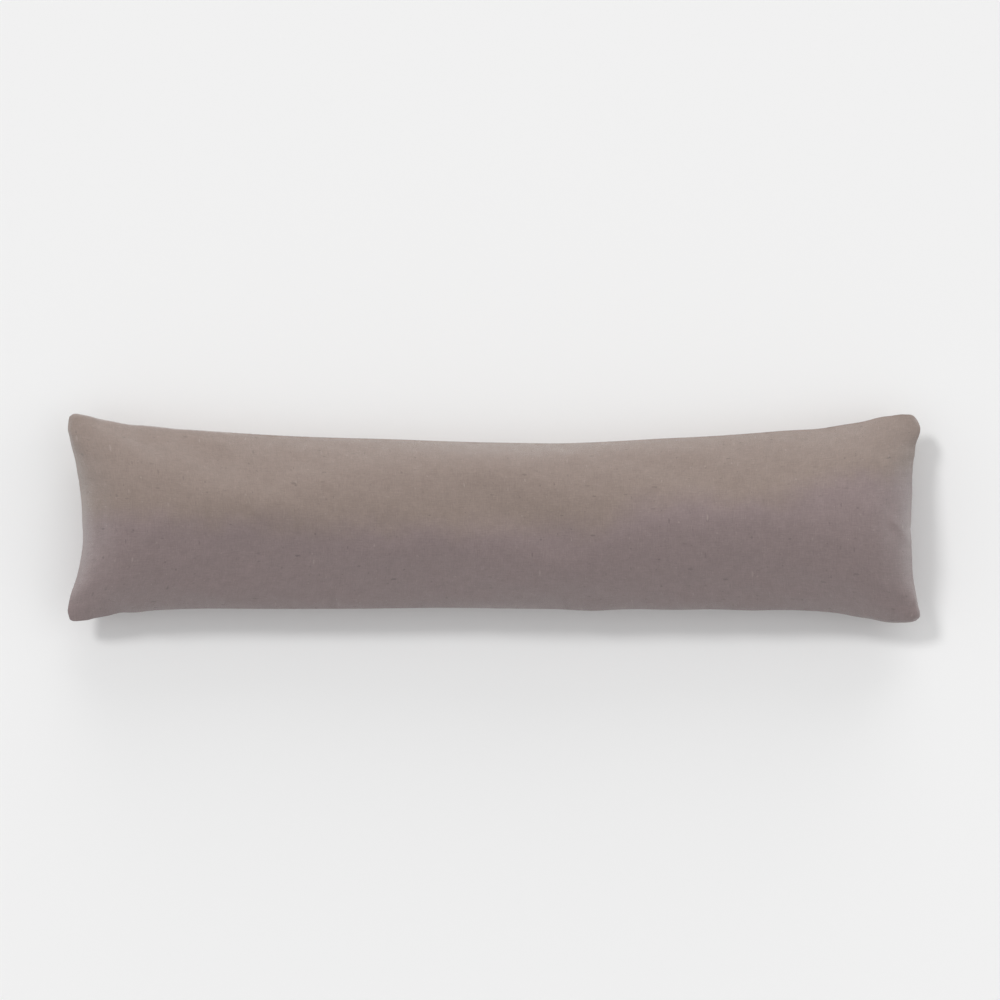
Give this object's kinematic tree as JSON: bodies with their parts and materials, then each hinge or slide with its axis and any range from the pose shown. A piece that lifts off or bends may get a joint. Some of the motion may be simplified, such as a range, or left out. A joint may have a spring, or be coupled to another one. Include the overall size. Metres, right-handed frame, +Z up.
{
  "type": "lumbar throw pillow",
  "caption": "Extra long knife-edge throw pillow in plain taupe cloth, filled, with drawn-in sides and soft pointed corners.",
  "frame": {"origin": "on the surface that the pillow rests on, under the middle of its length and width", "axes": "+X along the pillow's length, +Y across it towards the side that is drawn in more, +Z up out of its front face"},
  "size_m": [1.2159, 0.2981, 0.1413],
  "materials": {
    "cover_cloth": "woven"
  },
  "bodies": {
    "root": {"pillow": "cover_cloth"}
  },
  "joints": []
}
